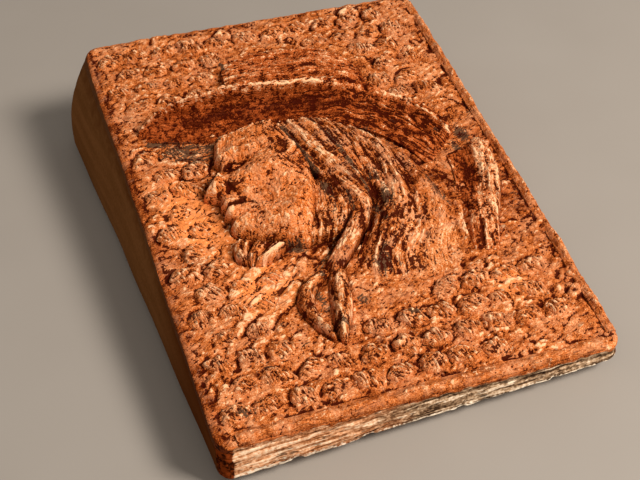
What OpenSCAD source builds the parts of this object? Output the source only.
// Relief plaque: a wedge-shaped slab with a coloured facing coat, and a hatted head in profile
// built up on it from separate pieces of clay. Millimetres, +Z up, standing on z = 0.
// The origin is under the middle of the slab, +Y points to the thick end, above the hat.

/* [Slab] */
// Width of the decorated face
face_w = 150; // [140:1:200]
// Length of the decorated face
face_l = 210; // [200:1:280]
// Height of the middle of the face above the table
face_h = 31; // [28:0.5:45]
// Slope of the face along its length, far end higher, in degrees
face_pitch = 6.3; // [0:0.1:7]
// Slope of the face across its width, left side higher, in degrees
face_roll = 4.3; // [0:0.1:5]
// Radius of the four corners of the face
corner_r = 6; // [4:0.5:14]
// Thickness of the facing coat
coat_t = 5; // [3:0.5:7]
// How far the left side leans out at the far end, from the face down to the lower rim
left_flare_far = 11; // [2:0.5:14]
// How far the left side leans out at the near end
left_flare_near = 2; // [1:0.5:10]
// How far the right side leans out, from the face down to the lower rim
right_flare = 1.5; // [1.5:0.5:6]
// How far the far end leans out, from the face down to the lower rim
far_flare = 1.5; // [0.5:0.1:5]
// How far the near end leans out, from the face down to the lower rim
near_flare = 0.2; // [0.2:0.1:3]
// Height of the lower rim above the table at the far end
rim_far_h = 3; // [2:0.5:8]
// Height of the lower rim above the table at the near end
rim_near_h = 7; // [2:0.5:8]
// Width of the bevel between the lower rim and the flat foot
foot_inset = 8; // [3:0.5:14]

/* [Edges] */
// Width of the raised lip along the right edge
lip_w = 3.5; // [2:0.1:5]
// Height of the raised lip
lip_h = 1.6; // [0.8:0.1:2]
// Width of the rounded band along the near edge
band_w = 5; // [3:0.1:7]
// Height of the rounded band
band_h = 1.4; // [0.8:0.1:2]

/* [Figure] */
// Width of the hat, from the front tip of the brim to its back
figure_w = 130; // [100:1:135]
// Height of the brim's crest above the face
brim_rise = 14; // [8:0.5:18]
// Height of the hat's crown
crown_rise = 6; // [4:0.5:14]
// Height of the head
head_rise = 12; // [6:0.5:16]
// Height of the hair
hair_rise = 10.5; // [5:0.5:14]
// Number of locks in the hair behind the head
hair_locks = 5; // [3:1:8]
// Height of the chin beard
beard_rise = 8; // [4:0.5:12]
// Number of locks in the chin beard
beard_locks = 3; // [2:1:5]
// Seam between neighbouring pieces
seam = 0.4; // [0.2:0.05:1]

/* [Pellets] */
// Distance between the pressed-on pellets of the background
pellet_pitch = 12; // [11.5:0.5:18]
// Shortest and longest half length of a pellet
pellet_reach = [4, 5.4]; // [2:0.1:5.5]
// Least and greatest half width of a pellet
pellet_girth = [2.8, 3.8]; // [1.5:0.1:4]
// Height of a pellet, as a share of its half width
pellet_rise = 0.6; // [0.4:0.05:0.95]
// Greatest turn of a pellet away from the line of its row, in degrees
pellet_turn = 30; // [0:1:35]
// Clear ground between a pellet and the figure or an edge
pellet_clear = 0.8; // [0.4:0.1:3]
// Least gap between pellets of a row
pellet_gap = 0.4; // [0.2:0.1:1]

/* [Hidden] */
clay = [0.78, 0.36, 0.17];
pale_clay = [0.84, 0.46, 0.26];
dark_clay = [0.55, 0.26, 0.13];
core_colour = [0.50, 0.38, 0.28];
$fn = 64;
hull_fn = 32;

// The figure's points below are drawn for this width of hat
drawn_w = 130;
figure_k = figure_w / drawn_w;

// Outlines of the figure on the face: each piece lies between a front and a back line,
// listed from the end nearest the hat's front tip, or from the top of a hanging piece
brim_front_in = [[-65, 42], [-54, 38], [-41, 34.5], [-26, 33.5], [-8, 32.5], [10, 30.5], [25, 22.5],
    [35, 11.5], [42, -2]];
brim_front_out = [[-65.5, 46], [-56, 50.5], [-41, 53.5], [-23, 54], [-4, 53], [18, 50], [36, 42.5],
    [50, 31], [60, 14]];
brim_back_in = [[51, 2], [50, -8], [46, -22], [42, -34], [40, -48]];
brim_back_out = [[68.5, 7], [68.5, -8], [65, -22], [58, -36], [51, -52]];
crown_base = [[-25, 56], [-6, 55], [16, 52.5], [34, 46]];
crown_top = [[-23, 74], [-12, 81], [6, 82], [22, 77], [36, 64]];
face_line = [[-38, 29.5], [-41, 20], [-40, 15.5], [-44.5, 9], [-50, 3.5], [-45, -0.5], [-45.5, -4],
    [-44, -6.5], [-45.5, -9], [-43.5, -11.5], [-45, -16], [-42.5, -20.5]];
hair_line = [[-13, 31], [-8, 12], [-7, -4], [-12, -18], [-18, -31]];
chin_front = [[-44, -21.5], [-46.5, -25], [-47, -29], [-45, -32.5]];
chin_back = [[-26, -29], [-30, -31.5], [-35, -33.5], [-40, -34.5]];
hollow_front = [[-5, -4.5], [-9.5, -17], [-15, -29]];
hollow_back = [[-3, -5], [-1, -19], [-6, -29]];
side_front = [[-9, 27], [-5, 12], [-1, -6], [1, -20], [-3, -29], [-11, -36], [-18, -43]];
side_back = [[8, 28], [13, 17], [13, -3], [10, -21], [2, -32], [-6, -40], [-13, -47]];
curl_front_in = [[-21.5, -45], [-29, -50], [-31, -58], [-27.5, -69], [-23.5, -75]];
curl_front_out = [[-18, -47.5], [-23.5, -52], [-26, -58], [-25, -67], [-23, -73.5]];
curl_back_in = [[-16.5, -48.5], [-18.5, -55], [-20.5, -63], [-22, -70], [-22, -75]];
curl_back_out = [[-12, -49], [-12.5, -56], [-15, -64], [-18.5, -71], [-21, -77]];
mass_front = [[10, 27.5], [15, 15], [15, -4], [12, -22], [5, -34], [-3, -45], [-6, -60]];
mass_back = [[32, 8], [38, -2], [41, -13], [42, -24], [41, -35], [38, -46], [33, -54]];

// Crest of a section, as a share of the way from the front line to the back line
mid_crest = 0.5;
brim_crest = 0.58;
// Height left at the two ends of a piece, as a share of its rise
blunt_end = 0.75;
soft_end = 0.5;
thin_end = 0.2;
// Part of a piece's length over which it climbs to its full rise
end_ramp = 0.25;
// Roundness of a section: lower is fuller
fullness = 0.6;
stations = 16;
across = 6;
head_stations = 33;
head_across = 8;

// Sectors of the background, counted anticlockwise from the right around the middle of the face
zones = ["far_right", "far", "far_left", "near_left", "near", "near_right"];
sector = 360 / len(zones);
row_step = pellet_pitch * sqrt(3) / 2;
wander = (pellet_pitch - 2 * pellet_reach[1]) / 2 - pellet_gap / 2;
hash_scale = 43758.5453;
// Sides of a pellet, and its shoulder: share of the oval and share of the height
pellet_sides = 10;
shoulder = [0.75, 0.7];

// Point at share t of the way along a smooth curve through the points p
function along(p, t) =
    let (n = len(p) - 1, x = min(max(t, 0), 1) * n, i = min(floor(x), n - 1), f = x - i)
    let (a = p[max(i - 1, 0)], b = p[i], c = p[i + 1], d = p[min(i + 2, n)])
    b + (c - a) * f / 2 + (2 * a - 5 * b + 4 * c - d) * f * f / 2
      + (3 * b - a - 3 * c + d) * f * f * f / 2;

// The curve at share w of the way from curve p to curve q, drawn at the figure's size
function between(p, q, w, t) = (along(p, t) * (1 - w) + along(q, t) * w) * figure_k;

// Height of a section at share s of its width, and of a piece at share t of its length
function section(s, crest) = pow(max(sin(180 * pow(s, ln(0.5) / ln(crest))), 0), fullness);
function climb(t, ends) =
    let (up = sin(90 * min(t / end_ramp, 1)), down = sin(90 * min((1 - t) / end_ramp, 1)))
    (ends[0] + (1 - ends[0]) * up) * (ends[1] + (1 - ends[1]) * down);

// A domed piece between shares w0 and w1 of the ground from the front line p to the back line q
module piece(p, q, rise, w0 = 0, w1 = 1, crest = mid_crest, ends = [soft_end, thin_end], n = stations,
             m = across) {
    rings = [for (k = [0:n])
        let (t = k / n, a = between(p, q, w0, t), b = between(p, q, w1, t), e = seam / 2 / norm(b - a))
        [for (j = [0:m])
            let (s = j / m, g = a + (b - a) * (e + (1 - 2 * e) * s))
            [g[0], g[1], rise * climb(t, ends) * section(s, crest)]]];
    count = m + 1;
    // Which side of its run the back line lies on, so that faces always look out
    run = between(p, q, (w0 + w1) / 2, 0.6) - between(p, q, (w0 + w1) / 2, 0.4);
    span = between(p, q, w1, 0.5) - between(p, q, w0, 0.5);
    turned = cross(span, run) > 0;
    skin = [for (k = [0:n - 1], j = [0:m - 1])
        let (c = k * count + j)
        each [[c, c + count, c + count + 1], [c, c + count + 1, c + 1]]];
    floor_faces = [for (k = [0:n - 1])
        let (c = k * count)
        each [[c, c + m, c + count + m], [c, c + count + m, c + count]]];
    caps = [for (j = [1:m - 1])
        let (c = n * count)
        each [[0, j, j + 1], [c, c + j + 1, c + j]]];
    faces = concat(skin, floor_faces, caps);
    polyhedron([for (r = rings) each r], [for (f = faces) turned ? f : [f[2], f[1], f[0]]]);
}

// The frame of the sloping face: z = 0 is the surface that the relief sits on
module on_face() {
    translate([face_x, face_y, face_h]) rotate([face_pitch, face_roll, 0]) children();
}

module rounded(w, l, r) {
    square([w - 2 * r, l], center = true);
    square([w, l - 2 * r], center = true);
    for (x = [-1, 1], y = [-1, 1]) translate([x * (w / 2 - r), y * (l / 2 - r)]) circle(r);
}

// Four posts whose hull is a rounded plate
module corner_posts(w, l, r, t) {
    for (x = [-1, 1], y = [-1, 1])
        translate([x * (w / 2 - r), y * (l / 2 - r), 0]) cylinder(r = r, h = t, $fn = hull_fn);
}

// Half of the table that the sloping face covers
half_span = face_w * cos(face_roll) / 2;
half_run = face_l * cos(face_pitch) / 2;
// The face lies off the middle of the rim, because the sides lean out by different amounts
face_x = (left_flare_far - right_flare) / 2;
face_y = (near_flare - far_flare) / 2;
rim_left_far = face_x - half_span - left_flare_far;
rim_left_near = face_x - half_span - left_flare_near;
rim_right = face_x + half_span + right_flare;
rim_far = face_y + half_run + far_flare;
rim_near = face_y - half_run - near_flare;
post_t = 0.5;

// Four posts on the outline of the lower rim, moved in by inset
module rim_posts(inset, far_z, near_z) {
    in = inset + corner_r;
    for (p = [
        [rim_left_far + in, rim_far - in, far_z],
        [rim_left_near + in, rim_near + in, near_z],
        [rim_right - in, rim_near + in, near_z],
        [rim_right - in, rim_far - in, far_z]])
        translate(p) cylinder(r = corner_r, h = post_t, $fn = hull_fn);
}

module core_slab() {
    color(core_colour) hull() {
        on_face() translate([0, 0, -coat_t - post_t]) corner_posts(face_w, face_l, corner_r, post_t);
        rim_posts(0, rim_far_h, rim_near_h);
        rim_posts(foot_inset, 0, 0);
    }
}

module facing_coat() {
    color(clay) on_face() translate([0, 0, -coat_t]) linear_extrude(coat_t) rounded(face_w, face_l, corner_r);
}

// A bar of length l along X, rounded on top, w wide and h high
module rounded_bar(l, w, h) {
    r = (w * w / 4 + h * h) / (2 * h);
    rotate([90, 0, 90]) linear_extrude(l, center = true) intersection() {
        translate([0, h - r]) circle(r);
        translate([-w / 2, 0]) square([w, h]);
    }
}

module right_edge_lip() {
    color(pale_clay) on_face() translate([face_w / 2 - lip_w / 2, 0, 0]) rotate([0, 0, 90])
        rounded_bar(face_l - 2 * corner_r, lip_w, lip_h);
}

module near_edge_band() {
    color(clay) on_face() translate([0, -face_l / 2 + band_w / 2, 0])
        rounded_bar(face_w - 2 * corner_r, band_w, band_h);
}

module hat_crown() {
    color(clay) on_face() piece(crown_base, crown_top, crown_rise, ends = [blunt_end, blunt_end]);
}

module brim_front() {
    color(dark_clay) on_face() piece(brim_front_in, brim_front_out, brim_rise, crest = brim_crest,
        ends = [thin_end, soft_end], n = 2 * stations);
}

module brim_back() {
    color(pale_clay) on_face() piece(brim_back_in, brim_back_out, brim_rise, crest = brim_crest,
        ends = [soft_end, thin_end]);
}

module head() {
    color(pale_clay) on_face() piece(face_line, hair_line, head_rise, ends = [blunt_end, soft_end],
        n = head_stations, m = head_across);
}

module hollow_lock() {
    color(dark_clay) on_face() piece(hollow_front, hollow_back, hair_rise / 2, ends = [thin_end, thin_end]);
}

module side_lock() {
    color(clay) on_face() piece(side_front, side_back, hair_rise, ends = [blunt_end, soft_end],
        n = 2 * stations);
}

module neck_curl_front() {
    color(clay) on_face() piece(curl_front_in, curl_front_out, hair_rise / 2);
}

module neck_curl_back() {
    color(pale_clay) on_face() piece(curl_back_in, curl_back_out, hair_rise / 2);
}

module beard_lock(i) {
    color(clay) on_face() piece(chin_front, chin_back, beard_rise, w0 = i / beard_locks,
        w1 = (i + 1) / beard_locks);
}

module hair_lock(i) {
    color(i % 2 == 0 ? clay : pale_clay) on_face() piece(mass_front, mass_back, hair_rise,
        w0 = i / hair_locks, w1 = (i + 1) / hair_locks, ends = [blunt_end, thin_end]);
}

// Points of the ground under a piece, close enough together that no pellet fits between them
function ground(p, q) = [for (t = [0:1 / 20:1], w = [0:1 / 6:1]) between(p, q, w, t)];
figure_ground = concat(
    ground(brim_front_in, brim_front_out), ground(brim_back_in, brim_back_out),
    ground(crown_base, crown_top), ground(face_line, hair_line), ground(chin_front, chin_back),
    ground(side_front, side_back), ground(curl_front_in, curl_back_out), ground(mass_front, mass_back),
    ground(hollow_front, hollow_back), ground(mass_back, brim_back_in));

// A number from 0 to 1 that is always the same for the same cell and use
function hash(i, j, use) =
    let (x = sin(i * 127.1 + j * 311.7 + use * 74.7) * hash_scale)
    x - floor(x);
function pick(range, share) = range[0] + (range[1] - range[0]) * share;

// Middle of the pellet of cell i of row j
function pellet_at(i, j) =
    [(i + (j % 2 == 0 ? 0 : 0.5)) * pellet_pitch + wander * (2 * hash(i, j, 1) - 1),
     j * row_step + wander * (2 * hash(i, j, 2) - 1)];
function pellet_fits(c) =
    let (room = pellet_reach[1] + pellet_clear)
    c[0] > -face_w / 2 + room && c[0] < face_w / 2 - lip_w - room
    && c[1] < face_l / 2 - room && c[1] > -face_l / 2 + band_w + room
    && min([for (g = figure_ground) norm(g - c)]) > room;
function zone_of(c) = floor(((atan2(c[1], c[0]) + 360) % 360) / sector);

// The cells of one zone whose pellet fits on the bare ground
function zone_cells(zone) =
    let (columns = ceil(face_w / pellet_pitch / 2), rows = ceil(face_l / row_step / 2))
    [for (i = [-columns:columns], j = [-rows:rows])
        if (zone_of(pellet_at(i, j)) == zone && pellet_fits(pellet_at(i, j))) [i, j]];

// One pellet: an oval base ring, a shoulder ring and a top point
function pellet_points(i, j) =
    let (c = pellet_at(i, j), turn = pellet_turn * (2 * hash(i, j, 3) - 1))
    let (reach = pick(pellet_reach, hash(i, j, 4)), girth = pick(pellet_girth, hash(i, j, 5)))
    let (high = girth * pellet_rise, ahead = [cos(turn), sin(turn)], aside = [-sin(turn), cos(turn)])
    concat(
        [for (ring = [[1, 0], shoulder], k = [0:pellet_sides - 1])
            let (a = 360 * k / pellet_sides)
            let (g = c + ahead * reach * ring[0] * cos(a) + aside * girth * ring[0] * sin(a))
            [g[0], g[1], high * ring[1]]],
        [[c[0], c[1], high]]);

// Faces of a pellet whose first point is number c
function pellet_faces(c) =
    let (n = pellet_sides)
    [for (k = [0:n - 1])
        let (next = (k + 1) % n)
        each [
            [c + k, c + n + next, c + next],
            [c + k, c + n + k, c + n + next],
            [c + n + k, c + 2 * n, c + n + next],
            if (k > 0 && k < n - 1) [c, c + k, c + next]]];

module pellets(zone) {
    cells = zone_cells(zone);
    per_pellet = 2 * pellet_sides + 1;
    color(zone % 2 == 0 ? clay : pale_clay) on_face() polyhedron(
        [for (c = cells) each pellet_points(c[0], c[1])],
        [for (k = [0:len(cells) - 1]) each pellet_faces(k * per_pellet)]);
}

core_slab();
facing_coat();
right_edge_lip();
near_edge_band();
hat_crown();
brim_front();
brim_back();
head();
hollow_lock();
side_lock();
neck_curl_front();
neck_curl_back();
for (i = [1:beard_locks]) beard_lock(i - 1);
for (i = [1:hair_locks]) hair_lock(i - 1);
for (z = [0:len(zones) - 1]) pellets(z);
